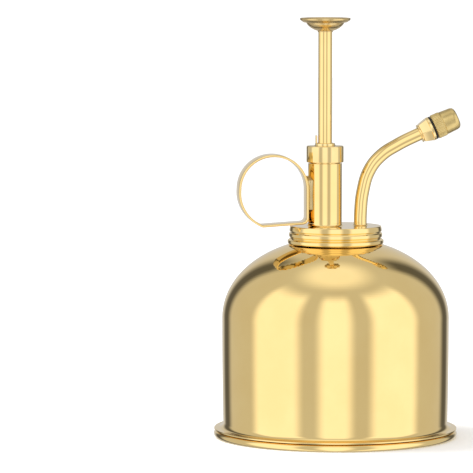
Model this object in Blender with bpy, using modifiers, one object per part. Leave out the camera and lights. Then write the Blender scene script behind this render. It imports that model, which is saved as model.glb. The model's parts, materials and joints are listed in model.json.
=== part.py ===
"""A brass hand mister: a domed water tank with a hand pump screwed into its neck.

The pump stands on the tank's screw cap, a little to the handle's side of the tank's axis. The
thumb plate pushes the piston down against a spring, a finger ring beside the barrel takes the
grip, and a spout tube carries the water from the foot valve to an adjustable nozzle.

The frame: origin on the tank's axis at the ground, +Z up, the spout towards +X, the finger ring
towards -X. Dimensions are in millimetres, and MM turns them into metres.
"""

import math

import bmesh
import bpy
from mathutils import Vector

MM = 0.001
GAP = 0.3

# Tank
BODY_RADIUS = 41.0
WALL = 0.8
DOME_BASE_Z = 43.0
DOME_RISE = 29.2
DOME_POWER = 2.05
DOME_HOLE_RADIUS = 15.3
FOOT_RADIUS = 44.0
FOOT_RIM_Z = 2.5
FLARE_TOP_Z = 6.5
FLOOR_Z = 1.5
REST_RING_RADII = (35.0, 42.4)

# Neck and screw cap
NECK_OUTER_RADIUS = 15.0
NECK_INNER_RADIUS = 12.6
NECK_TOP_Z = 73.8
THREAD_DEPTH = 0.4
SEAL_RADII = (12.8, 15.4)
CAP_TOP_Z = 76.6
CAP_BOTTOM_Z = 70.1
CAP_INNER_RADIUS = 15.85
CAP_PLATE = 0.7

# Pump
PUMP_X = -3.9
BARREL_OUTER_RADIUS = 6.1
BARREL_INNER_RADIUS = 5.4
BARREL_TOP_Z = 99.2
GLAND_RADIUS = 6.7
GLAND_TOP_Z = 105.5
GLAND_BORE_RADIUS = 2.8
PLUG_LOW_Z = 96.0
PACKING_Z = (100.8, 102.3)
BUSH_RADIUS = 3.6
BUSH_TOP_Z = 106.4
LUG_TOP_Z = 109.2
LUG_SECTION = (0.6, 1.2)
ROD_RADIUS = 2.5
ROD_SHOULDER_Z = (95.3, 146.4)
PLATE_RADIUS = 9.15
PLATE_TOP_Z = 151.5
PISTON_RADIUS = 5.1
PISTON_Z = (88.0, 95.0)
PISTON_BORE_RADIUS = 1.8
PISTON_RING = (4.45, 0.65, 91.8)
SPRING_RADIUS = 4.2
SPRING_WIRE_RADIUS = 0.5
SPRING_TURNS = 9

# Foot valve
FOOT_Z = (8.0, 22.0)
FOOT_RADIUS_PUMP = 7.3
FOOT_RADIUS_TUBE = 3.2
NIPPLE_RADIUS = 2.6
NIPPLE_BOTTOM_Z = 5.6
BARREL_SEAT_Z = 16.5
INLET_SEAT_Z = 9.5
INLET_BORE_RADIUS = 1.5
INLET_BALL_RADIUS = 2.2
INLET_CHAMBER_RADIUS = 2.8
OUTLET_SEAT_Z = 14.0
OUTLET_BORE_RADIUS = 0.9
OUTLET_BALL_RADIUS = 1.75
OUTLET_CHAMBER_RADIUS = 2.1
GALLERY_Z = 12.6
GALLERY_RADIUS = 0.85
PIN_Z = 15.0
PIN_RADIUS = 0.5
TUBE_SEAT_Z = 18.3

# Spout tube and nozzle
SPOUT_X = 9.0
SPOUT_RADIUS = 2.35
SPOUT_WALL = 0.8
NOZZLE_START = (30.5, 0.0, 109.5)
NOZZLE_RISE_DEGREES = 23.5
SOCKET_RADIUS = SPOUT_RADIUS + GAP
BASE_RADIUS = 4.4
BASE_END = 5.0
BASE_CORNERS = (3.6, 4.75)
HEX_LENGTH = 4.1
SPIGOT_RADIUS = 2.5
SPIGOT_END = 11.0
SOCKET_DEPTH = 2.4
PASSAGE_RADIUS = 1.2
CORE_RADIUS = 1.4
CORE_Z = (7.9, 10.8)
SLOT_RADIUS = 0.45
NOZZLE_SEAL = (4.02, 0.3, 5.38)
NOZZLE_RADIUS = 4.5
NOZZLE_BORE_RADIUS = 2.9
NOZZLE_START_S = 5.75
NOZZLE_END_S = 14.9
ORIFICE_RADIUS = 0.6

# Finger ring: a flat strip bent into a loop whose near side lies along the barrel
RING_RADIUS = 12.2
RING_SPREAD = 1.5
RING_CENTRE_Z = 89.9
STRIP_WIDTH = 9.0
STRIP_THICKNESS = 0.85
STRIP_SIDE_X = PUMP_X - BARREL_OUTER_RADIUS - GAP - STRIP_THICKNESS / 2


def clear_scene():
    for obj in list(bpy.data.objects):
        bpy.data.objects.remove(obj)


def new_collection(name):
    made = bpy.data.collections.new(name)
    bpy.context.scene.collection.children.link(made)
    return made


clear_scene()
PARTS = new_collection("hand_mister")
CUTTERS = new_collection("cutters")


def principled(name, colour, roughness, metallic):
    made = bpy.data.materials.new(name)
    made.use_nodes = True
    shader = made.node_tree.nodes["Principled BSDF"]
    shader.inputs["Base Color"].default_value = (*colour, 1.0)
    shader.inputs["Roughness"].default_value = roughness
    shader.inputs["Metallic"].default_value = metallic
    return made


POLISHED_BRASS = ((0.91, 0.66, 0.27), 0.12, 1.0)
TURNED_BRASS = ((0.76, 0.55, 0.25), 0.32, 1.0)
SPRING_STEEL = ((0.62, 0.62, 0.64), 0.30, 1.0)
BALL_STEEL = ((0.72, 0.73, 0.75), 0.15, 1.0)
BLACK_RUBBER = ((0.02, 0.02, 0.02), 0.60, 0.0)
RED_FIBRE = ((0.35, 0.10, 0.06), 0.80, 0.0)


def link(obj, name, finish, parent=None):
    """Names a part, gives it its material and hangs it under its axis."""
    obj.name = name
    obj.data.name = name
    obj.data.materials.clear()
    obj.data.materials.append(principled(name, *finish))
    for owner in list(obj.users_collection):
        owner.objects.unlink(obj)
    PARTS.objects.link(obj)
    obj.parent = parent
    obj.data.shade_smooth()
    obj.data.set_sharp_from_angle(angle=math.radians(40))
    return obj


def as_cutter(obj, name, parent=None):
    obj.name = name
    for owner in list(obj.users_collection):
        owner.objects.unlink(obj)
    CUTTERS.objects.link(obj)
    obj.parent = parent
    obj.hide_render = True
    obj.display_type = "WIRE"
    return obj


def axis_empty(name, at, parent=None, tilt_degrees=0.0):
    """An empty on a joint's axis: its local Z is the axis."""
    made = bpy.data.objects.new(name, None)
    made.location = Vector(at) * MM
    made.rotation_euler = (0.0, math.radians(tilt_degrees), 0.0)
    made.parent = parent
    PARTS.objects.link(made)
    return made


def turned_object(profile, steps, closed):
    """A profile of (radius, height) points turned about Z by a Screw modifier."""
    mesh = bpy.data.meshes.new("profile")
    points = [(radius * MM, 0.0, height * MM) for radius, height in profile]
    edges = [(i, i + 1) for i in range(len(points) - 1)]
    if closed:
        edges.append((len(points) - 1, 0))
    mesh.from_pydata(points, edges, [])
    made = bpy.data.objects.new("turned", mesh)
    bpy.context.scene.collection.objects.link(made)
    screw = made.modifiers.new("Screw", "SCREW")
    screw.axis = "Z"
    screw.angle = math.tau
    screw.steps = steps
    screw.render_steps = steps
    screw.use_merge_vertices = True
    screw.merge_threshold = 0.00001
    return made


def turned(name, profile, finish, parent=None, steps=32, closed=False):
    """A turned solid: open profiles start and end on the axis, closed ones are rings."""
    return link(turned_object(profile, steps, closed), name, finish, parent)


def rod_mesh(radius, low, high, sides):
    """A plain cylinder along Z from low to high."""
    bpy.ops.mesh.primitive_cylinder_add(vertices=sides, radius=radius * MM, depth=(high - low) * MM)
    made = bpy.context.object
    made.data.transform(made.matrix_world.Translation(Vector((0, 0, (low + high) / 2 * MM))))
    return made


def drill(target, radius, low, high, at=(0.0, 0.0), sides=16, parent=None, turn=None):
    """Cuts a round hole. turn swings the cutter's Z axis to X or Y."""
    cutter = rod_mesh(radius, low, high, sides)
    if turn == "X":
        cutter.rotation_euler = (0.0, math.pi / 2, 0.0)
    if turn == "Y":
        cutter.rotation_euler = (math.pi / 2, 0.0, 0.0)
    place = (*at, 0.0) if turn is None else at
    cutter.location = Vector(place) * MM
    as_cutter(cutter, f"{target.name}_drill_{len(target.modifiers)}", parent)
    boolean(target, cutter, "DIFFERENCE")


def boolean(target, tool, operation):
    made = target.modifiers.new(f"{operation.title()} {tool.name}", "BOOLEAN")
    made.operation = operation
    made.solver = "EXACT"
    made.object = tool


def ball(name, radius, height, finish, parent):
    bpy.ops.mesh.primitive_uv_sphere_add(segments=12, ring_count=8, radius=radius * MM)
    made = bpy.context.object
    made.location = (0.0, 0.0, height * MM)
    return link(made, name, finish, parent)


def ring_bead(name, major, minor, height, finish, parent, steps=24):
    bpy.ops.mesh.primitive_torus_add(
        major_radius=major * MM, minor_radius=minor * MM, major_segments=steps, minor_segments=8
    )
    made = bpy.context.object
    made.location = (0.0, 0.0, height * MM)
    return link(made, name, finish, parent)


def dome_height(radius):
    """The dome is a superellipse that meets the wall tangentially."""
    share = (radius / BODY_RADIUS) ** DOME_POWER
    return DOME_BASE_Z + DOME_RISE * (1.0 - share) ** (1.0 / DOME_POWER)


def inner_side(outer, thickness):
    """The outer line moved in by the wall's thickness, running back up."""
    moved = []
    for i, (radius, height) in enumerate(outer):
        before = outer[max(i - 1, 0)]
        after = outer[min(i + 1, len(outer) - 1)]
        along = Vector((after[0] - before[0], after[1] - before[1])).normalized()
        moved.append((radius + along.y * thickness, height - along.x * thickness))
    return moved[::-1]


def dome_line(steps=10):
    """Points down the dome's outside, from its hole to the straight wall."""
    first = math.acos(DOME_HOLE_RADIUS / BODY_RADIUS)
    radii = [BODY_RADIUS * math.cos(first * (1 - i / steps)) for i in range(steps + 1)]
    return [(radius, dome_height(radius)) for radius in radii]


def tank_shell():
    """The drawn body: dome, straight wall, and a narrow flange that lies on the base's rim."""
    wall = dome_line() + [(BODY_RADIUS, FLARE_TOP_Z)]
    flare = [(BODY_RADIUS + 0.35, 5.0), (BODY_RADIUS + 1.0, 3.9), (BODY_RADIUS + 1.9, 3.45)]
    flange_z = FOOT_RIM_Z + GAP
    flange = [(FOOT_RADIUS - 0.1, 3.3), (FOOT_RADIUS - 0.2, flange_z), (BODY_RADIUS + 0.4, flange_z)]
    inner = [(BODY_RADIUS - 0.1, 3.4), (BODY_RADIUS - 0.5, 4.6)] + inner_side(wall, WALL)
    return turned("tank_shell", wall + flare + flange + inner, POLISHED_BRASS, steps=40, closed=True)


def base_plate():
    """A pressed floor with a rolled rim that the tank's foot stands in."""
    spigot = BODY_RADIUS - WALL - GAP - 0.1
    rest_inner, rest_outer = REST_RING_RADII
    profile = [
        (0.0, FLOOR_Z + WALL),
        (spigot - 2.0, FLOOR_Z + WALL),
        (spigot - 1.0, 3.1),
        (spigot - 0.8, 5.2),
        (spigot, 5.2),
        (spigot + 0.3, FOOT_RIM_Z),
        (FOOT_RADIUS - 0.8, FOOT_RIM_Z),
        (FOOT_RADIUS - 0.1, 1.9),
        (FOOT_RADIUS, 1.2),
        (FOOT_RADIUS - 0.4, 0.4),
        (rest_outer, 0.0),
        (rest_inner, 0.0),
        (rest_inner - 1.6, FLOOR_Z),
        (0.0, FLOOR_Z),
    ]
    return turned("base_plate", profile, POLISHED_BRASS, steps=40)


def neck_ring():
    """The threaded neck, soldered under the dome by its flange."""
    crest = NECK_OUTER_RADIUS + THREAD_DEPTH
    profile = [(NECK_INNER_RADIUS, NECK_TOP_Z), (NECK_OUTER_RADIUS, NECK_TOP_Z)]
    for middle in (73.0, 71.2):
        profile += [(NECK_OUTER_RADIUS, middle + 0.5), (crest, middle), (NECK_OUTER_RADIUS, middle - 0.5)]
    profile += [(NECK_OUTER_RADIUS, 68.4), (16.8, 68.4), (16.8, 67.6), (NECK_INNER_RADIUS, 67.6)]
    return turned("neck_ring", profile, POLISHED_BRASS, steps=28, closed=True)


def flat_ring(name, low, high, finish):
    inner, outer = SEAL_RADII
    profile = [(inner, high), (outer, high), (outer, low), (inner, low)]
    return turned(name, profile, finish, steps=28, closed=True)


def screw_cap(head, pump):
    """The cap, its side rolled into two beads, pierced for the barrel and the spout tube."""
    profile = [
        (0.0, CAP_TOP_Z),
        (16.3, CAP_TOP_Z),
        (16.65, 76.45),
        (16.75, 76.1),
        (16.75, 74.6),
        (16.4, 74.15),
        (16.75, 73.7),
        (16.95, 73.1),
        (16.75, 72.5),
        (16.45, 72.1),
        (16.9, 71.75),
        (17.4, 71.2),
        (17.4, 70.6),
        (17.1, CAP_BOTTOM_Z),
        (CAP_INNER_RADIUS, dome_height(CAP_INNER_RADIUS) + GAP),
        (CAP_INNER_RADIUS, CAP_TOP_Z - CAP_PLATE),
        (0.0, CAP_TOP_Z - CAP_PLATE),
    ]
    made = turned("screw_cap", profile, POLISHED_BRASS, head, steps=32)
    low, high = CAP_TOP_Z - 2.0, CAP_TOP_Z + 1.0
    drill(made, BARREL_OUTER_RADIUS + GAP, low, high, sides=24, parent=pump)
    drill(made, SOCKET_RADIUS, low, high, at=(SPOUT_X, 0.0), parent=head)
    return made


def pump_barrel(pump):
    low = BARREL_SEAT_Z + GAP
    profile = [
        (BARREL_INNER_RADIUS, BARREL_TOP_Z),
        (BARREL_OUTER_RADIUS, BARREL_TOP_Z),
        (BARREL_OUTER_RADIUS, low),
        (BARREL_INNER_RADIUS, low),
    ]
    return turned("pump_barrel", profile, POLISHED_BRASS, pump, steps=28, closed=True)


def gland_cap(pump):
    """The plug that closes the barrel's top, counterbored for its packing and bush."""
    shoulder = BARREL_TOP_Z + GAP
    plug_radius = BARREL_INNER_RADIUS - GAP
    pocket = BUSH_RADIUS + GAP
    profile = [
        (pocket, GLAND_TOP_Z),
        (GLAND_RADIUS - 0.9, GLAND_TOP_Z),
        (GLAND_RADIUS - 0.3, GLAND_TOP_Z - 0.25),
        (GLAND_RADIUS, GLAND_TOP_Z - 0.9),
        (GLAND_RADIUS, shoulder + 0.2),
        (GLAND_RADIUS - 0.2, shoulder),
        (plug_radius, shoulder),
        (plug_radius, PLUG_LOW_Z),
        (GLAND_BORE_RADIUS, PLUG_LOW_Z),
        (GLAND_BORE_RADIUS, PACKING_Z[0] - GAP),
        (pocket, PACKING_Z[0] - GAP),
    ]
    return turned("gland_cap", profile, TURNED_BRASS, pump, steps=28, closed=True)


def gland_packing(pump):
    low, high = PACKING_Z
    profile = [(GLAND_BORE_RADIUS, high), (BUSH_RADIUS, high), (BUSH_RADIUS, low), (GLAND_BORE_RADIUS, low)]
    return turned("gland_packing", profile, BLACK_RUBBER, pump, steps=20, closed=True)


def gland_bush(pump):
    """The bush that presses the packing, with a lug left standing to turn it by."""
    low = PACKING_Z[1] + GAP
    profile = [
        (GLAND_BORE_RADIUS, BUSH_TOP_Z),
        (BUSH_RADIUS - 0.2, BUSH_TOP_Z),
        (BUSH_RADIUS, BUSH_TOP_Z - 0.2),
        (BUSH_RADIUS, low),
        (GLAND_BORE_RADIUS, low),
    ]
    made = turned("gland_bush", profile, TURNED_BRASS, pump, steps=20, closed=True)
    lug_low = BUSH_TOP_Z - 0.5
    bpy.ops.mesh.primitive_cube_add(size=1.0)
    lug = bpy.context.object
    lug.scale = Vector((*LUG_SECTION, LUG_TOP_Z - lug_low)) * MM
    lug.location = Vector((LUG_SECTION[0] / 2 - BUSH_RADIUS + 0.1, 0.0, (LUG_TOP_Z + lug_low) / 2)) * MM
    as_cutter(lug, "gland_bush_lug", pump)
    boolean(made, lug, "UNION")
    return made


def thumb_plate(pump):
    """A shallow dish for the thumb, with a blind socket for the rod's tenon."""
    socket = 1.7
    shoulder = ROD_SHOULDER_Z[1] + GAP
    dish = [(0.0, 149.0), (4.6, 149.4), (7.0, 150.3), (8.55, PLATE_TOP_Z - 0.15), (8.85, PLATE_TOP_Z)]
    rim = [(PLATE_RADIUS, PLATE_TOP_Z - 0.3), (9.0, 150.7), (7.8, 149.85), (6.8, 149.7)]
    bowl = [(6.6, 149.2), (6.0, 148.5), (5.1, 147.8), (4.0, 147.2), (3.0, 146.85), (2.9, shoulder)]
    profile = dish + rim + bowl + [(socket, shoulder), (socket, 148.0), (0.0, 148.0)]
    return turned("thumb_plate", profile, TURNED_BRASS, pump, steps=28)


def plunger_rod(pump):
    low, high = ROD_SHOULDER_Z
    tenon_top, tenon_low = (1.4, 147.6), (1.5, 84.2)
    profile = [
        (0.0, tenon_top[1]),
        tenon_top,
        (tenon_top[0], high),
        (ROD_RADIUS, high),
        (ROD_RADIUS, low),
        (tenon_low[0], low),
        tenon_low,
        (0.0, tenon_low[1]),
    ]
    return turned("plunger_rod", profile, POLISHED_BRASS, pump, steps=20)


def piston(pump):
    """The brass piston, grooved for its ring."""
    low, high = PISTON_Z
    bore = PISTON_BORE_RADIUS
    groove = 3.5
    profile = [
        (bore, high),
        (PISTON_RADIUS - 0.2, high),
        (PISTON_RADIUS, high - 0.2),
        (PISTON_RADIUS, 93.0),
        (groove, 93.0),
        (groove, 90.6),
        (PISTON_RADIUS, 90.6),
        (PISTON_RADIUS, low + 0.2),
        (PISTON_RADIUS - 0.2, low),
        (bore, low),
    ]
    return turned("piston", profile, TURNED_BRASS, pump, steps=24, closed=True)


def piston_nut(pump):
    low, high = 85.2, PISTON_Z[0] - GAP
    made = rod_mesh(2.9, low, high, 6)
    link(made, "piston_nut", TURNED_BRASS, pump)
    drill(made, PISTON_BORE_RADIUS, low - 1.0, high + 1.0, sides=12, parent=pump)
    return made


def return_spring(pump):
    """An open coil between the foot valve and the piston."""
    low = BARREL_SEAT_Z + GAP + SPRING_WIRE_RADIUS
    high = PISTON_Z[0] - GAP - SPRING_WIRE_RADIUS
    count = SPRING_TURNS * 10
    curve = bpy.data.curves.new("return_spring", "CURVE")
    curve.dimensions = "3D"
    curve.bevel_depth = SPRING_WIRE_RADIUS * MM
    curve.bevel_resolution = 1
    curve.use_fill_caps = True
    spline = curve.splines.new("POLY")
    spline.points.add(count)
    for i, point in enumerate(spline.points):
        angle = math.tau * SPRING_TURNS * i / count
        x, y = SPRING_RADIUS * math.cos(angle), SPRING_RADIUS * math.sin(angle)
        point.co = (x * MM, y * MM, (low + (high - low) * i / count) * MM, 1.0)
    made = bpy.data.objects.new("return_spring", curve)
    curve.materials.append(principled("return_spring", *SPRING_STEEL))
    PARTS.objects.link(made)
    made.parent = pump
    return made


def pear_block(pump):
    """The hull of the pump's round foot and the spout tube's smaller one."""
    mesh = bpy.data.meshes.new("foot_valve")
    shape = bmesh.new()
    low, high = FOOT_Z
    for radius, x, sides in ((FOOT_RADIUS_PUMP, 0.0, 28), (FOOT_RADIUS_TUBE, SPOUT_X - PUMP_X, 16)):
        for height in (low, high):
            for i in range(sides):
                angle = math.tau * i / sides
                at = (x + radius * math.cos(angle), radius * math.sin(angle), height)
                shape.verts.new(Vector(at) * MM)
    found = bmesh.ops.convex_hull(shape, input=shape.verts)
    unused = set(found["geom_interior"]) | set(found["geom_unused"])
    bmesh.ops.delete(shape, geom=[v for v in unused if isinstance(v, bmesh.types.BMVert)])
    bmesh.ops.dissolve_limit(shape, angle_limit=0.01, verts=shape.verts, edges=shape.edges)
    shape.to_mesh(mesh)
    shape.free()
    return bpy.data.objects.new("foot_valve", mesh)


def foot_valve(pump):
    """The block at the barrel's foot: inlet seat below, outlet seat under the spout tube."""
    tube_x = SPOUT_X - PUMP_X
    made = pear_block(pump)
    bpy.context.scene.collection.objects.link(made)
    link(made, "foot_valve", TURNED_BRASS, pump)
    nipple = rod_mesh(NIPPLE_RADIUS, NIPPLE_BOTTOM_Z, FOOT_Z[0] + 1.0, 16)
    boolean(made, as_cutter(nipple, "foot_valve_nipple", pump), "UNION")
    above = FOOT_Z[1] + 1.0
    drill(made, BARREL_OUTER_RADIUS + GAP, BARREL_SEAT_Z, above, sides=24, parent=pump)
    drill(made, INLET_CHAMBER_RADIUS, INLET_SEAT_Z, BARREL_SEAT_Z + 0.5, parent=pump)
    drill(made, INLET_BORE_RADIUS, NIPPLE_BOTTOM_Z - 1.0, INLET_SEAT_Z + 0.5, parent=pump)
    drill(made, SOCKET_RADIUS, TUBE_SEAT_Z, above, at=(tube_x, 0.0), parent=pump)
    drill(made, OUTLET_CHAMBER_RADIUS, OUTLET_SEAT_Z, TUBE_SEAT_Z + 0.5, at=(tube_x, 0.0), parent=pump)
    drill(made, OUTLET_BORE_RADIUS, GALLERY_Z - 0.6, OUTLET_SEAT_Z + 0.5, at=(tube_x, 0.0), sides=12, parent=pump)
    drill(made, GALLERY_RADIUS, 1.0, tube_x, at=(0.0, 0.0, GALLERY_Z), sides=12, parent=pump, turn="X")
    reach = FOOT_RADIUS_PUMP + 1.0
    drill(made, PIN_RADIUS + GAP, -reach, reach, at=(0.0, 0.0, PIN_Z), sides=12, parent=pump, turn="Y")
    return made


def ball_pin(pump):
    """The cross pin that keeps the inlet ball in its chamber."""
    half = FOOT_RADIUS_PUMP - 0.3
    made = rod_mesh(PIN_RADIUS, -half, half, 10)
    made.rotation_euler = (math.pi / 2, 0.0, 0.0)
    made.location = (0.0, 0.0, PIN_Z * MM)
    return link(made, "ball_pin", TURNED_BRASS, pump)


def seated_height(ball_radius, seat_radius, seat_z):
    """The ball's centre when it hangs a clearance above its seat's edge."""
    return seat_z + math.sqrt(ball_radius**2 - seat_radius**2) + GAP


def curve_mesh(name, points, radius, sides_resolution):
    """An open round tube surface along a smooth line through the points."""
    curve = bpy.data.curves.new(name, "CURVE")
    curve.dimensions = "3D"
    curve.resolution_u = 3
    curve.bevel_depth = radius * MM
    curve.bevel_resolution = sides_resolution
    spline = curve.splines.new("BEZIER")
    spline.bezier_points.add(len(points) - 1)
    for point, place in zip(spline.bezier_points, points):
        point.co = Vector(place) * MM
        point.handle_left_type = "AUTO"
        point.handle_right_type = "AUTO"
    guide = bpy.data.objects.new(name, curve)
    bpy.context.scene.collection.objects.link(guide)
    bpy.context.view_layer.update()
    evaluated = guide.evaluated_get(bpy.context.evaluated_depsgraph_get())
    mesh = bpy.data.meshes.new_from_object(evaluated)
    bpy.data.objects.remove(guide)
    return mesh


def nozzle_direction():
    rise = math.radians(NOZZLE_RISE_DEGREES)
    return Vector((math.cos(rise), 0.0, math.sin(rise)))


def spout_tube(head):
    """One tube from the foot valve up through the cap, bending over towards the nozzle."""
    start = Vector(NOZZLE_START)
    along = nozzle_direction()
    bend = [(9.05, 0.0, 81.0), (9.9, 0.0, 89.0), (12.2, 0.0, 96.4), (16.4, 0.0, 101.7), (22.4, 0.0, 105.6)]
    straight = [(SPOUT_X, 0.0, TUBE_SEAT_Z + GAP), (SPOUT_X, 0.0, 40.0), (SPOUT_X, 0.0, 74.0)]
    points = straight + bend + [tuple(start), tuple(start + along * 2.0)]
    mesh = curve_mesh("spout_tube", points, SPOUT_RADIUS, 3)
    made = bpy.data.objects.new("spout_tube", mesh)
    bpy.context.scene.collection.objects.link(made)
    shell = made.modifiers.new("Solidify", "SOLIDIFY")
    shell.thickness = SPOUT_WALL * MM
    shell.offset = -1.0
    shell.use_even_offset = True
    return link(made, "spout_tube", POLISHED_BRASS, head)


def ring_path():
    """The strip's middle line, as (x, z) points round the loop and back along the barrel."""
    centre_x = STRIP_SIDE_X - RING_RADIUS
    steps = 24
    sweep = math.radians(253.0)
    path = []
    for i in range(steps + 1):
        angle = sweep * i / steps
        past_left = max(angle - math.pi, 0.0) / (sweep - math.pi)
        radius = RING_RADIUS + RING_SPREAD * past_left
        path.append((centre_x + radius * math.cos(angle), RING_CENTRE_Z + radius * math.sin(angle)))
    corner = 1.9
    corner_centre = (STRIP_SIDE_X - corner, CAP_TOP_Z + 1.15 + corner)
    for i in range(5):
        angle = math.radians(-86.0 + 86.0 * i / 4)
        path.append((corner_centre[0] + corner * math.cos(angle), corner_centre[1] + corner * math.sin(angle)))
    return path


def finger_ring(head):
    """The flat strip for the fingers, its near side along the barrel."""
    mesh = bpy.data.meshes.new("finger_ring")
    shape = bmesh.new()
    loop = [shape.verts.new((x * MM, STRIP_WIDTH / 2 * MM, z * MM)) for x, z in ring_path()]
    edges = [shape.edges.new((loop[i - 1], loop[i])) for i in range(len(loop))]
    made = bmesh.ops.extrude_edge_only(shape, edges=edges)["geom"]
    moved = [v for v in made if isinstance(v, bmesh.types.BMVert)]
    bmesh.ops.translate(shape, verts=moved, vec=(0.0, -STRIP_WIDTH * MM, 0.0))
    bmesh.ops.recalc_face_normals(shape, faces=shape.faces)
    shape.to_mesh(mesh)
    shape.free()
    strip = bpy.data.objects.new("finger_ring", mesh)
    bpy.context.scene.collection.objects.link(strip)
    solid = strip.modifiers.new("Solidify", "SOLIDIFY")
    solid.thickness = STRIP_THICKNESS * MM
    solid.offset = 0.0
    solid.use_even_offset = True
    edge = strip.modifiers.new("Bevel", "BEVEL")
    edge.width = 0.25 * MM
    edge.segments = 1
    edge.limit_method = "ANGLE"
    edge.angle_limit = math.radians(40)
    return link(strip, "finger_ring", POLISHED_BRASS, head)


def nozzle_base(nozzle):
    """A tapered six-sided nut on the tube's end, with a round band and a threaded spigot."""
    narrow, wide = BASE_CORNERS
    bpy.ops.mesh.primitive_cone_add(vertices=6, radius1=narrow * MM, radius2=wide * MM, depth=HEX_LENGTH * MM)
    made = bpy.context.object
    made.data.transform(made.matrix_world.Translation(Vector((0, 0, HEX_LENGTH / 2 * MM))))
    link(made, "nozzle_base", TURNED_BRASS, nozzle)
    band_low = HEX_LENGTH - 0.4
    edge = (BASE_RADIUS - 0.2, BASE_END)
    band_line = [(0.0, BASE_END), edge, (BASE_RADIUS, BASE_END - 0.2), (BASE_RADIUS, band_low), (0.0, band_low)]
    band = turned_object(band_line, 24, False)
    boolean(made, as_cutter(band, "nozzle_base_band", nozzle), "UNION")
    spigot = rod_mesh(SPIGOT_RADIUS, band_low, SPIGOT_END, 20)
    boolean(made, as_cutter(spigot, "nozzle_base_spigot", nozzle), "UNION")
    drill(made, SOCKET_RADIUS, -1.0, SOCKET_DEPTH, parent=nozzle)
    drill(made, PASSAGE_RADIUS, SOCKET_DEPTH - 0.4, CORE_Z[0] + 0.6, sides=12, parent=nozzle)
    drill(made, CORE_RADIUS + 0.35, CORE_Z[0] - GAP, SPIGOT_END + 1.0, parent=nozzle)
    return made


def swirl_core(nozzle):
    """A small plug, slotted on two sides, that sets the water spinning."""
    low, high = CORE_Z
    made = rod_mesh(CORE_RADIUS, low, high, 14)
    link(made, "swirl_core", TURNED_BRASS, nozzle)
    for side in (-1.0, 1.0):
        drill(made, SLOT_RADIUS, low - 1.0, high + 1.0, at=(side * CORE_RADIUS, 0.0), sides=8, parent=nozzle)
    return made


def nozzle_cap(nozzle):
    """The cap that turns on the spigot: a grip band, a taper and the spray hole."""
    rear = NOZZLE_START_S
    chamber_end = 12.2
    profile = [
        (NOZZLE_BORE_RADIUS, rear),
        (NOZZLE_BORE_RADIUS, chamber_end),
        (ORIFICE_RADIUS, 13.6),
        (ORIFICE_RADIUS, 14.5),
        (1.2, NOZZLE_END_S),
        (3.1, NOZZLE_END_S),
        (3.75, 14.6),
        (4.05, 13.9),
        (4.3, 9.6),
        (NOZZLE_RADIUS, 9.3),
        (NOZZLE_RADIUS, rear + 0.4),
        (NOZZLE_RADIUS - 0.3, rear),
    ]
    outward = profile[::-1]
    start = outward.index((NOZZLE_BORE_RADIUS, chamber_end))
    closed_line = outward[start:] + outward[:start]
    return turned("nozzle_cap", closed_line[::-1], TURNED_BRASS, nozzle, steps=28, closed=True)


def build():
    head = axis_empty("head_axis", (0.0, 0.0, 0.0))
    pump = axis_empty("pump_axis", (PUMP_X, 0.0, 0.0), head)
    outlet = axis_empty("outlet_axis", (SPOUT_X, 0.0, 0.0), head)
    nozzle = axis_empty("nozzle_axis", NOZZLE_START, head, 90.0 - NOZZLE_RISE_DEGREES)

    tank_shell()
    base_plate()
    neck_ring()
    flat_ring("neck_gasket", NECK_TOP_Z + 0.3, NECK_TOP_Z + 1.1, BLACK_RUBBER)
    flat_ring("slip_washer", NECK_TOP_Z + 1.4, NECK_TOP_Z + 1.8, RED_FIBRE)
    screw_cap(head, pump)

    pump_barrel(pump)
    gland_cap(pump)
    gland_packing(pump)
    gland_bush(pump)
    thumb_plate(pump)
    plunger_rod(pump)
    piston(pump)
    ring_bead("piston_ring", *PISTON_RING, BLACK_RUBBER, pump)
    piston_nut(pump)
    return_spring(pump)
    foot_valve(pump)
    ball_pin(pump)
    inlet_height = seated_height(INLET_BALL_RADIUS, INLET_BORE_RADIUS, INLET_SEAT_Z)
    ball("inlet_ball", INLET_BALL_RADIUS, inlet_height, BALL_STEEL, pump)
    outlet_height = seated_height(OUTLET_BALL_RADIUS, OUTLET_BORE_RADIUS, OUTLET_SEAT_Z)
    ball("outlet_ball", OUTLET_BALL_RADIUS, outlet_height, BALL_STEEL, outlet)

    finger_ring(head)
    spout_tube(head)
    nozzle_base(nozzle)
    swirl_core(nozzle)
    ring_bead("nozzle_seal", *NOZZLE_SEAL, BLACK_RUBBER, nozzle)
    nozzle_cap(nozzle)


build()
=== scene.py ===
"""The hand mister's looks: turned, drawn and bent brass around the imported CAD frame."""

import json
import math

import bmesh
import bpy
from mathutils import Matrix, Vector


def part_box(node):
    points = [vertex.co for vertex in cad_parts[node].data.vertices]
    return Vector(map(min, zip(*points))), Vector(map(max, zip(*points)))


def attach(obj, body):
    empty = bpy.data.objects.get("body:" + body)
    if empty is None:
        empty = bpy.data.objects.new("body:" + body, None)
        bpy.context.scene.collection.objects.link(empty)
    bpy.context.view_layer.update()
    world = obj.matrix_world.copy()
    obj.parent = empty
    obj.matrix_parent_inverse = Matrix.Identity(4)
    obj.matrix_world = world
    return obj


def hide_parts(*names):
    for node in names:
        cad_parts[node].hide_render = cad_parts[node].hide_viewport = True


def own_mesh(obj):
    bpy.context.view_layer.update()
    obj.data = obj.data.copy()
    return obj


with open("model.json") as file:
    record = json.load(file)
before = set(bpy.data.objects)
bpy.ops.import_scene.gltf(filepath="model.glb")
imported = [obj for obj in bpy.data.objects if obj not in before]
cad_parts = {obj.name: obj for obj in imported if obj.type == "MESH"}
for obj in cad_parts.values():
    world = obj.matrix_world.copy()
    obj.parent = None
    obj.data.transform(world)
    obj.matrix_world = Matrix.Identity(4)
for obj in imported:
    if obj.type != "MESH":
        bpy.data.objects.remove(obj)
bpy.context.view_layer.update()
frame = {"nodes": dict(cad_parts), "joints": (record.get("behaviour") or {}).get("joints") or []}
scene = bpy.context.scene
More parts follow.
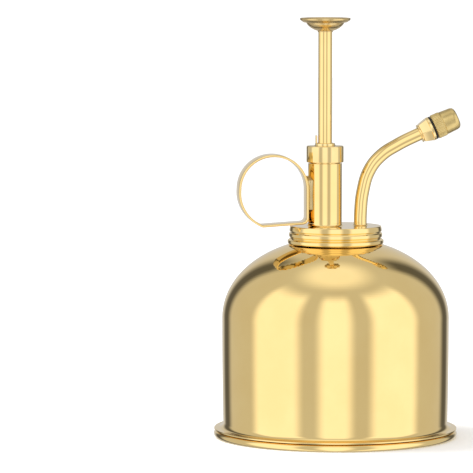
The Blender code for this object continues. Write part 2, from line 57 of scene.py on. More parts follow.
joints = {joint["name"]: joint for joint in frame["joints"]}

MM = 0.001
TAU = math.tau


# ---------------------------------------------------------------- outlines

def arc(centre, radius, start, end, steps=8):
    """Points on a circle, angles in degrees."""
    points = []
    for i in range(steps + 1):
        angle = math.radians(start + (end - start) * i / steps)
        points.append((centre[0] + radius * math.cos(angle), centre[1] + radius * math.sin(angle)))
    return points


def rounded(points, closed=False, step=14.0):
    """An outline whose corners that carry a third number are rounded to that radius."""
    out = []
    count = len(points)
    for i, point in enumerate(points):
        is_end = not closed and i in (0, count - 1)
        if len(point) == 2 or is_end:
            out.append((point[0], point[1]))
            continue
        corner = Vector(point[:2])
        before = Vector(points[i - 1][:2]) - corner
        after = Vector(points[(i + 1) % count][:2]) - corner
        inside = before.angle(after)
        cut = min(point[2] / math.tan(inside / 2), 0.49 * before.length, 0.49 * after.length)
        radius = cut * math.tan(inside / 2)
        bisector = (before.normalized() + after.normalized()).normalized()
        centre = corner + bisector * radius / math.sin(inside / 2)
        first = corner + before.normalized() * cut - centre
        last = corner + after.normalized() * cut - centre
        begin = math.atan2(first.y, first.x)
        turn = (math.atan2(last.y, last.x) - begin + math.pi) % TAU - math.pi
        steps = max(2, math.ceil(abs(math.degrees(turn)) / step))
        for k in range(steps + 1):
            angle = begin + turn * k / steps
            out.append((centre.x + radius * math.cos(angle), centre.y + radius * math.sin(angle)))
    return held(out, closed)


def held(line, closed=False, shortest=0.8, hold=0.04):
    """Adds a point just inside each end of the long straights, which keeps their shading flat."""
    out = []
    count = len(line)
    for i, point in enumerate(line):
        out.append(point)
        if i == count - 1 and not closed:
            break
        start, end = Vector(point), Vector(line[(i + 1) % count])
        length = (end - start).length
        if length > shortest:
            out.append(tuple(start.lerp(end, hold / length)))
            out.append(tuple(end.lerp(start, hold / length)))
    return out


# ---------------------------------------------------------------- meshes

def add_lathe(shape, profile, segments, closed=False, warp=None):
    """Turns a profile of (radius, height) in mm round the local Z axis into the bmesh."""
    rows = []
    for index, (radius, height) in enumerate(profile):
        if radius < 1e-6:
            rows.append([shape.verts.new((0.0, 0.0, height * MM))])
            continue
        row = []
        for i in range(segments):
            angle = TAU * i / segments
            r = warp(index, radius, height, angle) if warp else radius
            row.append(shape.verts.new((r * math.cos(angle) * MM, r * math.sin(angle) * MM, height * MM)))
        rows.append(row)
    pairs = list(zip(rows, rows[1:])) + ([(rows[-1], rows[0])] if closed else [])
    for low, high in pairs:
        for i in range(segments):
            k = (i + 1) % segments
            if len(low) == 1 and len(high) == 1:
                break
            if len(low) == 1:
                shape.faces.new((low[0], high[i], high[k]))
            elif len(high) == 1:
                shape.faces.new((low[i], low[k], high[0]))
            else:
                shape.faces.new((low[i], low[k], high[k], high[i]))


def finish_piece(name, mesh, placement, material, body, slot, replaced=(), sharp=38.0):
    """Shades the mesh, puts it in place, hangs it on its body's empty and hides the CAD parts it replaces."""
    mesh.polygons.foreach_set("use_smooth", [True] * len(mesh.polygons))
    mesh.set_sharp_from_angle(angle=math.radians(sharp))
    mesh.materials.clear()
    mesh.materials.append(material)
    made = bpy.data.objects.new(name, mesh)
    scene.collection.objects.link(made)
    made.matrix_world = placement
    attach(made, body)
    if replaced:
        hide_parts(*replaced)
    return made


def from_bmesh(name, shape, *rest, **options):
    bmesh.ops.recalc_face_normals(shape, faces=shape.faces)
    mesh = bpy.data.meshes.new(name)
    shape.to_mesh(mesh)
    shape.free()
    return finish_piece(name, mesh, *rest, **options)


def turned(
    name, profile, placement, material, body, slot, replaced=(), segments=160, closed=False, warp=None,
    sharp=38.0,
):
    shape = bmesh.new()
    add_lathe(shape, profile, segments, closed, warp)
    return from_bmesh(name, shape, placement, material, body, slot, replaced, sharp=sharp)


def swept_tube(name, points, radius, resolution=24):
    """A capped round tube's mesh along a smooth line through points in mm."""
    curve = bpy.data.curves.new(name, "CURVE")
    curve.dimensions = "3D"
    curve.resolution_u = resolution
    curve.bevel_depth = radius * MM
    curve.bevel_resolution = 14
    curve.use_fill_caps = True
    spline = curve.splines.new("BEZIER")
    spline.bezier_points.add(len(points) - 1)
    for point, place in zip(spline.bezier_points, points):
        point.co = Vector(place) * MM
        point.handle_left_type = "AUTO"
        point.handle_right_type = "AUTO"
    guide = bpy.data.objects.new(name + "_guide", curve)
    scene.collection.objects.link(guide)
    bpy.context.view_layer.update()
    evaluated = guide.evaluated_get(bpy.context.evaluated_depsgraph_get())
    mesh = bpy.data.meshes.new_from_object(evaluated)
    bpy.data.objects.remove(guide)
    return mesh


# ---------------------------------------------------------------- materials

class Graph:
    """Builds a node tree with short calls; socket values may be numbers or other nodes' outputs."""

    def __init__(self, tree):
        self.tree = tree
        tree.nodes.clear()

    def add(self, kind, inputs=None, **attributes):
        made = self.tree.nodes.new(kind)
        for key, value in attributes.items():
            setattr(made, key, value)
        for key, value in (inputs or {}).items():
            socket = made.inputs[key]
            if isinstance(value, bpy.types.NodeSocket):
                self.tree.links.new(value, socket)
            else:
                socket.default_value = value
        return made

    def math(self, operation, *values):
        return self.add("ShaderNodeMath", dict(enumerate(values)), operation=operation).outputs[0]

    def fade(self, value, low, high):
        """0 below low and 1 above high, with a soft step between."""
        made = self.add(
            "ShaderNodeMapRange", {"Value": value, "From Min": low, "From Max": high},
            interpolation_type="SMOOTHSTEP",
        )
        return made.outputs["Result"]

    def spread(self, value, low, high, to_low, to_high):
        made = self.add(
            "ShaderNodeMapRange",
            {"Value": value, "From Min": low, "From Max": high, "To Min": to_low, "To Max": to_high},
        )
        return made.outputs["Result"]

    def noise(self, vector, scale, detail=3.0, roughness=0.5):
        made = self.add(
            "ShaderNodeTexNoise", {"Vector": vector, "Scale": scale, "Detail": detail, "Roughness": roughness}
        )
        return made.outputs["Fac"]

    def blend(self, factor, first, second):
        made = self.add("ShaderNodeMix", data_type="RGBA")
        sockets = {"Factor": factor, "A": first, "B": second}
        for socket in made.inputs:
            if socket.enabled and socket.name in sockets:
                value = sockets[socket.name]
                if isinstance(value, bpy.types.NodeSocket):
                    self.tree.links.new(value, socket)
                else:
                    socket.default_value = value
        return next(socket for socket in made.outputs if socket.enabled)


def material_graph(name):
    made = bpy.data.materials.new(name)
    made.use_nodes = True
    return made, Graph(made.node_tree)


def shaded(graph, colour, roughness, normal, **constants):
    inputs = {"Base Color": colour, "Roughness": roughness, "Normal": normal}
    inputs.update({key.replace("_", " "): value for key, value in constants.items()})
    surface = graph.add("ShaderNodeBsdfPrincipled", inputs)
    graph.add("ShaderNodeOutputMaterial", {"Surface": surface.outputs["BSDF"]})


def bump(graph, height, strength, distance):
    made = graph.add("ShaderNodeBump", {"Height": height, "Strength": strength, "Distance": distance})
    return made.outputs["Normal"]


def polished_brass(name, light, deep, rough_low, rough_high):
    """Buffed brass: a mirror with faint tarnish clouds, wiping marks and hairline scratches."""
    made, graph = material_graph(name)
    place = graph.add("ShaderNodeTexCoord").outputs["Object"]
    clouds = graph.noise(place, 55.0, 4.0, 0.55)
    colour = graph.blend(graph.fade(clouds, 0.3, 0.72), (*light, 1.0), (*deep, 1.0))
    wiped = graph.add("ShaderNodeMapping", {"Vector": place, "Scale": (1.0, 1.0, 3.2)}).outputs["Vector"]
    smears = graph.noise(wiped, 120.0, 5.0, 0.6)
    roughness = graph.spread(smears, 0.3, 0.75, rough_low, rough_high)
    fine = graph.add("ShaderNodeMapping", {"Vector": place, "Scale": (1.0, 1.0, 24.0)}).outputs["Vector"]
    hairlines = graph.noise(fine, 900.0, 2.0, 0.6)
    shaded(graph, colour, roughness, bump(graph, hairlines, 0.0008, 0.00002), Metallic=1.0)
    return made


def turned_brass(name, light, deep, rough_low, rough_high, grooves):
    """Lathe-turned brass: concentric tool marks round the local Z axis, and a satin haze."""
    made, graph = material_graph(name)
    place = graph.add("ShaderNodeTexCoord").outputs["Object"]
    parts = graph.add("ShaderNodeSeparateXYZ", {"Vector": place}).outputs
    flat = graph.add("ShaderNodeCombineXYZ", {"X": parts["X"], "Y": parts["Y"]}).outputs["Vector"]
    radius = graph.add("ShaderNodeVectorMath", {0: flat}, operation="LENGTH").outputs["Value"]
    rings = graph.add("ShaderNodeCombineXYZ", {"X": radius, "Z": parts["Z"]}).outputs["Vector"]
    marks = graph.noise(rings, 5200.0, 3.0, 0.7)
    clouds = graph.noise(place, 160.0, 4.0, 0.55)
    colour = graph.blend(graph.fade(clouds, 0.3, 0.72), (*light, 1.0), (*deep, 1.0))
    haze = graph.math("ADD", graph.math("MULTIPLY", marks, 0.5), graph.math("MULTIPLY", clouds, 0.5))
    roughness = graph.spread(haze, 0.35, 0.65, rough_low, rough_high)
    shaded(graph, colour, roughness, bump(graph, marks, grooves, 0.00003), Metallic=1.0)
    return made


def soft_solid(name, light, deep, scale, rough_low, rough_high, strength, **constants):
    """Rubber, fibre or steel with a fine grain."""
    made, graph = material_graph(name)
    place = graph.add("ShaderNodeTexCoord").outputs["Object"]
    grain = graph.noise(place, scale, 6.0, 0.65)
    colour = graph.blend(grain, (*light, 1.0), (*deep, 1.0))
    roughness = graph.spread(grain, 0.25, 0.75, rough_low, rough_high)
    shaded(graph, colour, roughness, bump(graph, grain, strength, 0.00004), **constants)
    return made


POLISHED = polished_brass("polished_brass", (0.95, 0.72, 0.32), (0.92, 0.68, 0.29), 0.02, 0.05)
TURNED = turned_brass("turned_brass", (0.9, 0.7, 0.31), (0.83, 0.63, 0.27), 0.2, 0.32, 0.1)
LATHED = turned_brass("lathed_brass", (0.93, 0.72, 0.35), (0.9, 0.68, 0.32), 0.03, 0.07, 0.003)
SATIN = turned_brass("satin_brass", (0.76, 0.57, 0.27), (0.6, 0.44, 0.2), 0.18, 0.3, 0.16)
SATIN_LIGHT = turned_brass("satin_brass_light", (0.74, 0.57, 0.25), (0.58, 0.43, 0.17), 0.2, 0.34, 0.2)
GLAND = turned_brass("gland_brass", (0.92, 0.71, 0.34), (0.87, 0.66, 0.3), 0.012, 0.03, 0.0006)
# Darker than the brass round it: partly the solder's own duller tone, partly painted shade for the corner
# between the finger ring's strip and the barrel.
SOLDER_PAINTED_SHADE = polished_brass("solder_seam_painted_shade", (0.7, 0.56, 0.3), (0.5, 0.38, 0.18), 0.2, 0.34)
RUBBER = soft_solid("black_rubber", (0.012, 0.012, 0.012), (0.006, 0.006, 0.006), 900.0, 0.6, 0.85, 0.3)
FIBRE = soft_solid("red_fibre", (0.42, 0.12, 0.07), (0.26, 0.07, 0.04), 1500.0, 0.7, 0.9, 0.4)
SPRING = soft_solid(
    "spring_steel", (0.62, 0.62, 0.64), (0.48, 0.48, 0.5), 1800.0, 0.2, 0.38, 0.15, Metallic=1.0
)
BALL = soft_solid("ball_steel", (0.74, 0.75, 0.77), (0.66, 0.67, 0.69), 600.0, 0.06, 0.14, 0.02, Metallic=1.0)


# ---------------------------------------------------------------- axes

def middle(node):
    low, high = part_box(node)
    return (low + high) / 2


TANK_AXIS = Matrix.Identity(4)
PUMP_AXIS = Matrix.Translation((middle("pump_barrel").x, 0.0, 0.0))
nozzle_joint = joints["nozzle_turn"]
nozzle_turning = Vector((0, 0, 1)).rotation_difference(Vector(nozzle_joint["axis"])).to_matrix().to_4x4()
NOZZLE_AXIS = Matrix.Translation(nozzle_joint["pos_m"]) @ nozzle_turning
PUMP_X = PUMP_AXIS.translation.x / MM
SPOUT_X = 9.0


# ---------------------------------------------------------------- tank

BODY_RADIUS = 41.0
DOME_BASE_Z = 43.0
DOME_RISE = 29.2
DOME_POWER = 2.05
HOLE_RADIUS = 15.3
WALL = 0.8


def dome_line(steps, inset=0.0):
    """Down the dome, from its hole to the wall."""
    first = math.acos(HOLE_RADIUS / BODY_RADIUS)
    line = []
    for i in range(steps + 1):
        across = math.cos(first - first * i / steps)
        up = (1 - across**DOME_POWER) ** (1 / DOME_POWER)
        line.append(((BODY_RADIUS + 0.02 - inset) * across, DOME_BASE_Z + (DOME_RISE - inset) * up))
    return line


def wall_line(steps=24, top=DOME_BASE_Z, low=5.5):
    """The wall stands upright at the shoulder and draws in very slightly towards the foot."""
    line = []
    for i in range(steps + 1):
        z = top + (low - top) * i / steps
        line.append((BODY_RADIUS + 0.02 - 0.0003 * (z - 41.0) ** 2, z))
    return line


def tank_shell():
    outer = held(dome_line(56)[:-1] + wall_line(), shortest=0.4)
    foot = outer[-1][0]
    flare = arc((foot + 2.0, 5.45), 2.0, 180.0, 262.0, 14)
    flange = rounded([flare[-1], (43.9, 3.36, 0.24), (43.9, 2.8, 0.16), (41.4, 2.8)])[1:]
    inner = [(40.9, 3.2), (40.3, 4.4), (40.2, 6.5)] + dome_line(30, WALL)[::-1]
    return turned(
        "tank_shell_drawn", outer + flare + flange + inner, TANK_AXIS, POLISHED, "tank", "polished_brass",
        ["tank_shell"], segments=256, closed=True,
    )


def base_plate():
    profile = [(0.0, 2.3), (37.6, 2.3, 0.6), (38.9, 5.2, 0.3), (39.8, 5.2, 0.3), (40.1, 2.6, 0.2), (42.7, 2.6)]
    bead = arc((42.72, 1.33), 1.27, 90.0, -85.0, 18)
    under = [(42.5, 0.0), (35.2, 0.0, 0.5), (33.4, 1.5, 0.6), (12.0, 1.5, 0.3), (11.5, 1.2, 0.3), (0.0, 1.2)]
    return turned(
        "base_plate_rolled", rounded(profile) + bead[1:] + rounded(under), TANK_AXIS, POLISHED, "tank",
        "polished_brass", ["base_plate"], segments=256,
    )


def neck_ring():
    """The neck with its rolled helical thread."""
    pitch, crest, low, high = 2.2, 0.38, 69.2, 73.4
    steps = 52
    profile = rounded([
        (15.0, 68.4), (16.8, 68.4, 0.2), (16.8, 67.6, 0.2), (12.6, 67.6, 0.3), (12.6, 73.8, 0.3),
        (15.0, 73.8, 0.3), (15.0, 73.5),
    ])
    thread = [(15.0, high - (high - low) * i / steps) for i in range(steps + 1)]
    start = len(profile)

    def warp(index, radius, height, angle):
        if index < start:
            return radius
        phase = (height / pitch - angle / TAU) % 1.0
        ridge = max(0.0, 1.0 - abs(phase - 0.5) / 0.36)
        ends = min(1.0, (height - low) / 0.5, (high - height) / 0.5)
        return radius + crest * min(1.0, ridge * 1.35) * max(0.0, ends)

    return turned(
        "neck_ring_threaded", profile + thread, TANK_AXIS, LATHED, "tank", "polished_brass",
        ["neck_ring"], segments=192, closed=True, warp=warp,
    )


# ---------------------------------------------------------------- screw cap

CAP_HOLE = 5.6
CAP_TOP = 76.6
BARREL_RADIUS = 6.1
SPOUT_RADIUS = 2.35


def screw_cap():
    """The collar, with the hole that the pump barrel stands in, which is off the tank's axis."""
    outer = [
        (CAP_HOLE, CAP_TOP), (16.35, CAP_TOP, 0.2), (16.52, 76.3, 0.3), (16.74, 74.9, 0.3),
        (16.4, 74.3, 0.2), (16.9, 73.85, 0.15), (16.9, 72.85, 0.15), (16.4, 72.15, 0.25),
        (17.38, 71.45, 0.15), (17.38, 70.5, 0.15), (17.1, 70.1, 0.12),
    ]
    inner = [(15.95, 70.7, 0.2), (15.85, 75.9, 0.4), (CAP_HOLE, 75.9)]

    def off_centre(index, radius, height, angle):
        edge = PUMP_X * math.cos(angle) + math.sqrt(CAP_HOLE**2 - (PUMP_X * math.sin(angle)) ** 2)
        return radius + (edge - CAP_HOLE) * max(0.0, (12.0 - radius) / (12.0 - CAP_HOLE))

    profile = held(rounded(outer + inner, closed=True), closed=True, shortest=0.5)
    return turned(
        "screw_cap_spun", profile, TANK_AXIS, POLISHED, "head", "polished_brass", ["screw_cap"],
        segments=224, closed=True, warp=off_centre,
    )


def fillet_ring(name, placement, radius, base, width, height, material=SOLDER_PAINTED_SHADE):
    """A concave ring of solder where a tube meets a plate."""
    curve = arc((radius + width, base + height), 1.0, 180.0, 270.0, 7)
    outer = [
        (radius + width + (x - radius - width) * width, base + height + (z - base - height) * height)
        for x, z in curve
    ]
    inside, sunk = radius - 0.15, base - 0.12
    profile = [(inside, base + height)] + outer + [(radius + width, sunk), (inside, sunk)]
    return turned(name, profile, placement, material, "head", "polished_brass", closed=True, segments=96)


# ---------------------------------------------------------------- pump

def pump_barrel():
    outer, inner, low, high = BARREL_RADIUS, 5.4, 16.8, 99.2
    profile = [(outer, high, 0.12), (outer, low, 0.25), (inner, low, 0.2), (inner, high, 0.12)]
    return turned(
        "pump_barrel_drawn", rounded(profile, closed=True), PUMP_AXIS, POLISHED, "head", "polished_brass",
        ["pump_barrel"], segments=128, closed=True,
    )


def return_spring():
    """The coil under the piston, with closed ends; the real spring shortens as the plunger goes down, while
    this mesh keeps one length.
    """
    low, high = (Vector(corner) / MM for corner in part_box("return_spring"))
    wire, turns, steps = 0.5, 9.0, 108
    radius = (high.y - low.y) / 2 - wire
    centre = Vector((PUMP_X, 0.0, 0.0))
    points = []
    for i in range(steps + 1):
        t = i / steps
        angle = TAU * turns * t
        rise = t - math.sin(TAU * t) / TAU * 0.75
        height = low.z + wire + (high.z - low.z - 2 * wire) * rise
        points.append(tuple(centre + Vector((radius * math.cos(angle), radius * math.sin(angle), height))))
    mesh = swept_tube("return_spring_wound", points, wire, resolution=3)
    made = finish_piece(
        "return_spring_wound", mesh, TANK_AXIS, SPRING, "head", "spring_steel", ["return_spring"]
    )
    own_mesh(made)
    return made


def gland_cap():
    profile = [
        (3.95, 105.0, 0.1), (3.95, 105.5, 0.25), (6.7, 105.5, 0.5), (6.7, 99.5, 0.3), (5.1, 99.5, 0.1),
        (5.1, 96.0, 0.2), (2.8, 96.0, 0.2), (2.8, 100.5, 0.1), (3.95, 100.5, 0.1),
    ]
    return turned(
        "gland_cap_turned", rounded(profile, closed=True), PUMP_AXIS, GLAND, "head", "turned_brass",
        ["gland_cap"], segments=128, closed=True,
    )


def gland_bush():
    shape = bmesh.new()
    profile = [(2.8, 102.6), (3.6, 102.6), (3.6, 106.35, 0.25), (3.3, 106.4, 0.1), (2.8, 106.0, 0.1)]
    add_lathe(shape, rounded(profile, closed=True), 96, closed=True)
    lug = bmesh.ops.create_cube(shape, size=1.0)["verts"]
    bmesh.ops.scale(shape, verts=lug, vec=Vector((0.6, 1.2, 3.3)) * MM)
    bmesh.ops.translate(shape, verts=lug, vec=Vector((-3.2, 0.0, 107.55)) * MM)
    edges = [edge for edge in shape.edges if all(v in lug for v in edge.verts)]
    bmesh.ops.bevel(shape, geom=edges, offset=0.14 * MM, segments=3, profile=0.5, affect="EDGES")
    return from_bmesh(
        "gland_bush_turned", shape, PUMP_AXIS, LATHED, "head", "turned_brass", ["gland_bush"]
    )


def thumb_plate():
    profile = [
        (0.0, 149.02), (2.4, 149.05, 2.0), (4.8, 149.4, 3.0), (7.0, 150.3, 3.0), (8.5, 151.35, 0.5),
        (8.8, 151.5, 0.15),
        (9.15, 151.3, 0.2), (9.05, 150.7, 0.3), (7.85, 149.85, 0.4), (6.85, 149.7, 0.12), (6.6, 149.2, 0.5),
        (6.0, 148.5, 1.5), (5.1, 147.8, 2.0), (4.0, 147.2, 2.0), (3.0, 146.85, 0.5), (2.75, 146.72, 0.1),
        (2.75, 146.4), (0.0, 146.4),
    ]
    return turned(
        "thumb_plate_turned", rounded(profile), PUMP_AXIS, SATIN, "plunger", "turned_brass", ["thumb_plate"],
        segments=144,
    )


def plunger_rod():
    profile = [(0.0, 146.9), (2.5, 146.9), (2.5, 95.3, 0.25), (1.5, 95.1, 0.1), (1.5, 84.2, 0.2), (0.0, 84.2)]
    return turned(
        "plunger_rod_ground", rounded(profile), PUMP_AXIS, POLISHED, "plunger", "polished_brass",
        ["plunger_rod"], segments=96,
    )


LOOP_RADIUS = 12.2
LOOP_HEIGHT = 89.9


def ring_path():
    """The strip's middle line, as (x, z) points round the loop and back along the barrel."""
    side_x = PUMP_X - 6.825
    centre = (side_x - LOOP_RADIUS, LOOP_HEIGHT)
    path = []
    for i in range(97):
        angle = math.radians(253.0 * i / 96)
        past_left = max(angle - math.pi, 0.0) / math.radians(73.0)
        radius = LOOP_RADIUS + 1.5 * past_left
        path.append((centre[0] + radius * math.cos(angle), centre[1] + radius * math.sin(angle)))
    path[-1] = (*path[-1], 5.0)
    path += arc((side_x - 1.9, 79.65), 1.9, -86.0, 0.0, 8)
    path += [(side_x, 83.0), (side_x, 86.0)]
    return rounded(path, closed=True, step=5.0)


def strip_section(width, thickness, corner, steps=6):
    """A rounded rectangle as (across, out) points."""
    half, deep = width / 2 - corner, thickness / 2 - corner
    section = []
    for sx, sy, start in ((1, 1, 0), (-1, 1, 90), (-1, -1, 180), (1, -1, 270)):
        section += arc((sx * half, sy * deep), corner, start, start + 90, steps)
    return section


def finger_ring():
    path = [Vector(point) for point in ring_path()]
    section = strip_section(9.0, 0.85, 0.32)
    shape = bmesh.new()
    loops = []
    for i, point in enumerate(path):
        along = (path[(i + 1) % len(path)] - path[i - 1]).normalized()
        out = Vector((along.y, -along.x))
        loops.append([
            shape.verts.new(Vector((point.x + out.x * depth, across, point.y + out.y * depth)) * MM)
            for across, depth in section
        ])
    for low, high in zip(loops, loops[1:] + loops[:1]):
        for i in range(len(section)):
            k = (i + 1) % len(section)
            shape.faces.new((low[i], low[k], high[k], high[i]))
    return from_bmesh(
        "finger_ring_bent", shape, TANK_AXIS, POLISHED, "head", "polished_brass", ["finger_ring"]
    )


def ring_solder():
    """The solder run that fills the corner between the strip's near side and the barrel, in a darker brass
    that is partly the solder's own duller tone and partly painted shade for that corner.
    """
    shape = bmesh.new()
    rows = []
    low, high, steps = 81.2, 94.6, 66
    for i in range(steps + 1):
        t = i / steps
        z = low + (high - low) * t
        swell = min(1.0, math.sin(math.pi * min(max(t, 0.02), 0.98)) * 3.0) ** 0.5
        ripple = 0.06 * math.sin(9.0 * t) + 0.02 * math.sin(23.0 * t + 1.0)
        away = LOOP_RADIUS - math.sqrt(LOOP_RADIUS**2 - max(0.0, z - LOOP_HEIGHT) ** 2)
        half = (3.95 + ripple) * swell
        near = -6.45 - away
        reach = min(half - 0.25 + 0.5 * ripple, 4.3)
        surface_x = -math.sqrt(6.12**2 - reach**2)
        buried_x = -math.sqrt(6.0**2 - reach**2)
        hollow = []
        for k in range(1, 6):
            share = k / 6
            across = half + (reach - half) * share - 0.35 * math.sin(math.pi * share)
            hollow.append((near + (surface_x - near) * share, across))
        row = [(near, half), (near, 0.0), (near, -half)]
        row += [(x, -across) for x, across in hollow]
        row += [(buried_x, -reach), (-5.9, 0.0), (buried_x, reach)]
        row += hollow[::-1]
        rows.append([shape.verts.new(Vector((PUMP_X + x, y, z)) * MM) for x, y in row])
    count = len(rows[0])
    for lower, upper in zip(rows, rows[1:]):
        for k in range(count):
            shape.faces.new((lower[k], lower[(k + 1) % count], upper[(k + 1) % count], upper[k]))
    shape.faces.new(rows[0])
    shape.faces.new(rows[-1])
    return from_bmesh("finger_ring_solder", shape, TANK_AXIS, SOLDER_PAINTED_SHADE, "head", "polished_brass")


# ---------------------------------------------------------------- spout and nozzle

def spout_tube():
    start = Vector(nozzle_joint["pos_m"]) / MM
    along = Vector(nozzle_joint["axis"])
    points = [(SPOUT_X, 0.0, 19.8), (SPOUT_X, 0.0, 40.0), (SPOUT_X, 0.0, 74.0)]
    points += [(9.05, 0.0, 81.0), (9.9, 0.0, 89.0), (12.2, 0.0, 96.4), (16.4, 0.0, 101.7), (22.4, 0.0, 105.6)]
    points += [tuple(start), tuple(start + along * 2.0)]
    mesh = swept_tube("spout_tube_bent", points, SPOUT_RADIUS)
    return finish_piece(
        "spout_tube_bent", mesh, TANK_AXIS, POLISHED, "head", "polished_brass", ["spout_tube"]
    )


def hexagon(corner):
    """The radius of a six-sided outline at an angle, its corners just broken."""

    def radius_at(angle):
        flat = corner * math.cos(math.pi / 6)
        offset = (angle - math.pi / 2) % (TAU / 6) - TAU / 12
        return min(flat / math.cos(offset), corner * 0.985)

    return radius_at


def nozzle_base():
    collar = [(0.0, 0.0), (3.1, 0.0), (3.35, 0.08), (3.35, 0.36), (2.9, 0.4), (2.9, 0.56)]
    hexes = [(3.5, 0.6), (3.66, 0.72), (4.02, 1.7), (4.4, 2.9), (4.72, 3.92), (4.66, 4.08)]
    band = rounded([
        (4.42, 4.1), (4.4, 4.14), (4.4, 5.0, 0.15), (2.5, 5.0, 0.1), (2.5, 10.8, 0.2), (1.6, 11.0, 0.1),
        (1.6, 8.0), (0.0, 8.0),
    ])
    profile = collar + hexes + band
    first_hex, last_hex = len(collar), len(collar) + len(hexes) - 1

    def warp(index, radius, height, angle):
        return hexagon(radius)(angle) if first_hex <= index <= last_hex else radius

    return turned(
        "nozzle_base_hex", profile, NOZZLE_AXIS, LATHED, "head", "turned_brass", ["nozzle_base"], segments=192,
        warp=warp, sharp=22.0,
    )


def nozzle_seal():
    profile = arc((4.02, 5.38), 0.3, 0.0, 345.0, 23)
    return turned(
        "nozzle_seal_ring", profile, NOZZLE_AXIS, RUBBER, "nozzle_ring", "black_rubber", ["nozzle_seal"],
        segments=96, closed=True,
    )


def nozzle_cap():
    """The spray cap: a knurled grip, a long taper and a rounded face with the spray hole."""
    grip = rounded([(2.9, 5.75), (4.1, 5.75, 0.1), (4.28, 5.95)])
    teeth = [(4.28, 6.0), (4.48, 6.15)] + [(4.48, 6.15 + 0.42 * i) for i in range(1, 8)] + [(4.28, 9.25)]
    taper = rounded([
        (4.2, 9.35), (4.3, 9.5, 0.1), (4.1, 13.5, 1.5), (3.8, 14.45, 0.8), (3.1, 14.9, 0.4), (1.3, 14.9, 0.15),
        (0.6, 14.5, 0.1), (0.6, 13.6), (2.9, 12.2), (2.9, 5.75),
    ])
    first, last = len(grip), len(grip) + len(teeth) - 1

    def warp(index, radius, height, angle):
        if first < index < last:
            return radius - 0.16 * (0.5 - 0.5 * math.cos(44 * angle)) ** 2
        return radius

    return turned(
        "nozzle_cap_knurled", grip + teeth + taper[:-1], NOZZLE_AXIS, SATIN_LIGHT, "nozzle", "turned_brass",
        ["nozzle_cap"], segments=320, closed=True, warp=warp,
    )


tank_shell()
base_plate()
neck_ring()
screw_cap()
fillet_ring("barrel_solder_ring", PUMP_AXIS, BARREL_RADIUS, CAP_TOP, 0.9, 0.9, POLISHED)
spout_foot = Matrix.Translation((SPOUT_X * MM, 0.0, 0.0))
fillet_ring("spout_solder_ring", spout_foot, SPOUT_RADIUS, CAP_TOP, 0.7, 0.7, POLISHED)
pump_barrel()
return_spring()
gland_cap()
gland_bush()
thumb_plate()
plunger_rod()
finger_ring()
ring_solder()
spout_tube()
nozzle_base()
nozzle_seal()
nozzle_cap()

carried = {
    "neck_gasket": RUBBER, "slip_washer": FIBRE, "gland_packing": RUBBER,
    "foot_valve": TURNED, "ball_pin": TURNED, "swirl_core": TURNED, "piston": TURNED, "piston_ring": RUBBER,
    "piston_nut": TURNED, "inlet_ball": BALL, "outlet_ball": BALL,
}
for node, material in carried.items():
    mesh = frame["nodes"][node].data
    mesh.materials.clear()
    mesh.materials.append(material)


# ---------------------------------------------------------------- studio

CAMERA_AZIMUTH = -8.0
CAMERA_DISTANCE = 1.4
CAMERA_HEIGHT = 0.19


ROOM_LEVEL = 0.65
SOFT_BOX_LEVEL = 1.25
OVERHEAD_LEVEL = 1.1
FLAG_LEVEL = 0.12
PANEL_SOFTNESS = 14.0
# The tall panels round the object: azimuth of the middle, half width (degrees), level.
# Azimuth 0 is the camera's side, and + is to its right.
PANELS = [
    (-64.0, 26.0, SOFT_BOX_LEVEL),
    (0.0, 16.0, SOFT_BOX_LEVEL),
    (64.0, 26.0, SOFT_BOX_LEVEL),
    (-146.0, 10.0, FLAG_LEVEL),
    (146.0, 10.0, FLAG_LEVEL),
]


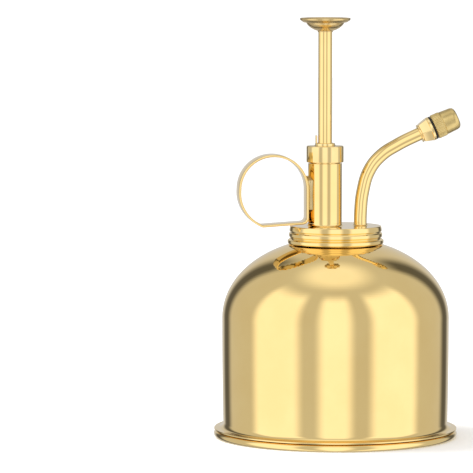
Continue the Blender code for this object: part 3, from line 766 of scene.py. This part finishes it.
def studio_world():
    """A plain studio: metal sees a grey room, soft boxes and two black flags, all else a white room."""
    world = bpy.data.worlds.new("studio")
    scene.world = world
    world.use_nodes = True
    world.cycles.sampling_method = "NONE"
    graph = Graph(world.node_tree)
    direction = graph.add("ShaderNodeTexCoord").outputs["Generated"]
    facing = graph.add(
        "ShaderNodeVectorRotate", {"Vector": direction, "Angle": math.radians(-CAMERA_AZIMUTH)},
        rotation_type="Z_AXIS",
    ).outputs["Vector"]
    parts = graph.add("ShaderNodeSeparateXYZ", {"Vector": facing}).outputs
    to_camera = graph.math("MULTIPLY", parts["Y"], -1.0)
    azimuth = graph.math("DEGREES", graph.math("ARCTAN2", parts["X"], to_camera))
    elevation = graph.math("DEGREES", graph.math("ARCSINE", parts["Z"]))

    def mixed(level, goal, share):
        return graph.math("MULTIPLY_ADD", graph.math("SUBTRACT", goal, level), share, level)

    upright = graph.math("SUBTRACT", 1.0, graph.fade(elevation, 40.0, 60.0))
    level = ROOM_LEVEL
    for panel_azimuth, half_width, goal in PANELS:
        offset = graph.math("WRAP", graph.math("SUBTRACT", azimuth, panel_azimuth), 180.0, -180.0)
        inner, outer = half_width - PANEL_SOFTNESS / 2, half_width + PANEL_SOFTNESS / 2
        inside = graph.math("SUBTRACT", 1.0, graph.fade(graph.math("ABSOLUTE", offset), inner, outer))
        level = mixed(level, goal, graph.math("MULTIPLY", inside, upright))
    level = mixed(level, OVERHEAD_LEVEL, graph.fade(elevation, 60.0, 80.0))

    white = (1.0, 1.0, 1.0, 1.0)
    studio = graph.add("ShaderNodeBackground", {"Color": white, "Strength": level}).outputs["Background"]
    room = graph.add("ShaderNodeBackground", {"Color": white, "Strength": 1.2}).outputs["Background"]
    glossy = graph.add("ShaderNodeLightPath").outputs["Is Glossy Ray"]
    both = graph.add("ShaderNodeMixShader", {"Fac": glossy, 1: room, 2: studio}).outputs["Shader"]
    graph.add("ShaderNodeOutputWorld", {"Surface": both})


def floor():
    mesh = bpy.data.meshes.new("floor")
    shape = bmesh.new()
    bmesh.ops.create_grid(shape, x_segments=8, y_segments=8, size=3.0)
    shape.to_mesh(mesh)
    shape.free()
    made = bpy.data.objects.new("floor", mesh)
    scene.collection.objects.link(made)
    material, graph = material_graph("floor_paper")
    place = graph.add("ShaderNodeTexCoord").outputs["Object"]
    grain = graph.noise(place, 500.0, 2.0)
    colour = graph.blend(grain, (0.86, 0.86, 0.87, 1.0), (0.88, 0.88, 0.885, 1.0))
    shaded(graph, colour, 0.9, bump(graph, grain, 0.02, 0.0001), Specular_IOR_Level=0.0)
    mesh.materials.append(material)
    made.visible_glossy = False
    return made


def key_light():
    data = bpy.data.lights.new("key_softbox", "AREA")
    data.shape = "DISK"
    data.size = 0.7
    data.energy = 12.0
    made = bpy.data.objects.new("key_softbox", data)
    scene.collection.objects.link(made)
    made.location = (-0.75, 0.25, 1.0)
    made.rotation_euler = (Vector((0.0, 0.0, 0.03)) - made.location).to_track_quat("-Z", "Y").to_euler()
    made.visible_glossy = False
    made.visible_camera = False
    return made


def camera():
    data = bpy.data.cameras.new("camera")
    data.lens = 296.0
    data.sensor_width = 36.0
    made = bpy.data.objects.new("camera", data)
    scene.collection.objects.link(made)
    azimuth = math.radians(CAMERA_AZIMUTH)
    right = Vector((math.cos(azimuth), math.sin(azimuth), 0.0))
    back = Vector((math.sin(azimuth), -math.cos(azimuth), 0.0))
    made.location = back * CAMERA_DISTANCE + Vector((0.0, 0.0, CAMERA_HEIGHT))
    target = right * -0.0358 + Vector((0.0, 0.0, 0.0725))
    made.rotation_euler = (target - made.location).to_track_quat("-Z", "Y").to_euler()
    scene.camera = made
    return made


studio_world()
floor()
key_light()
camera()
scene.view_settings.view_transform = "Standard"
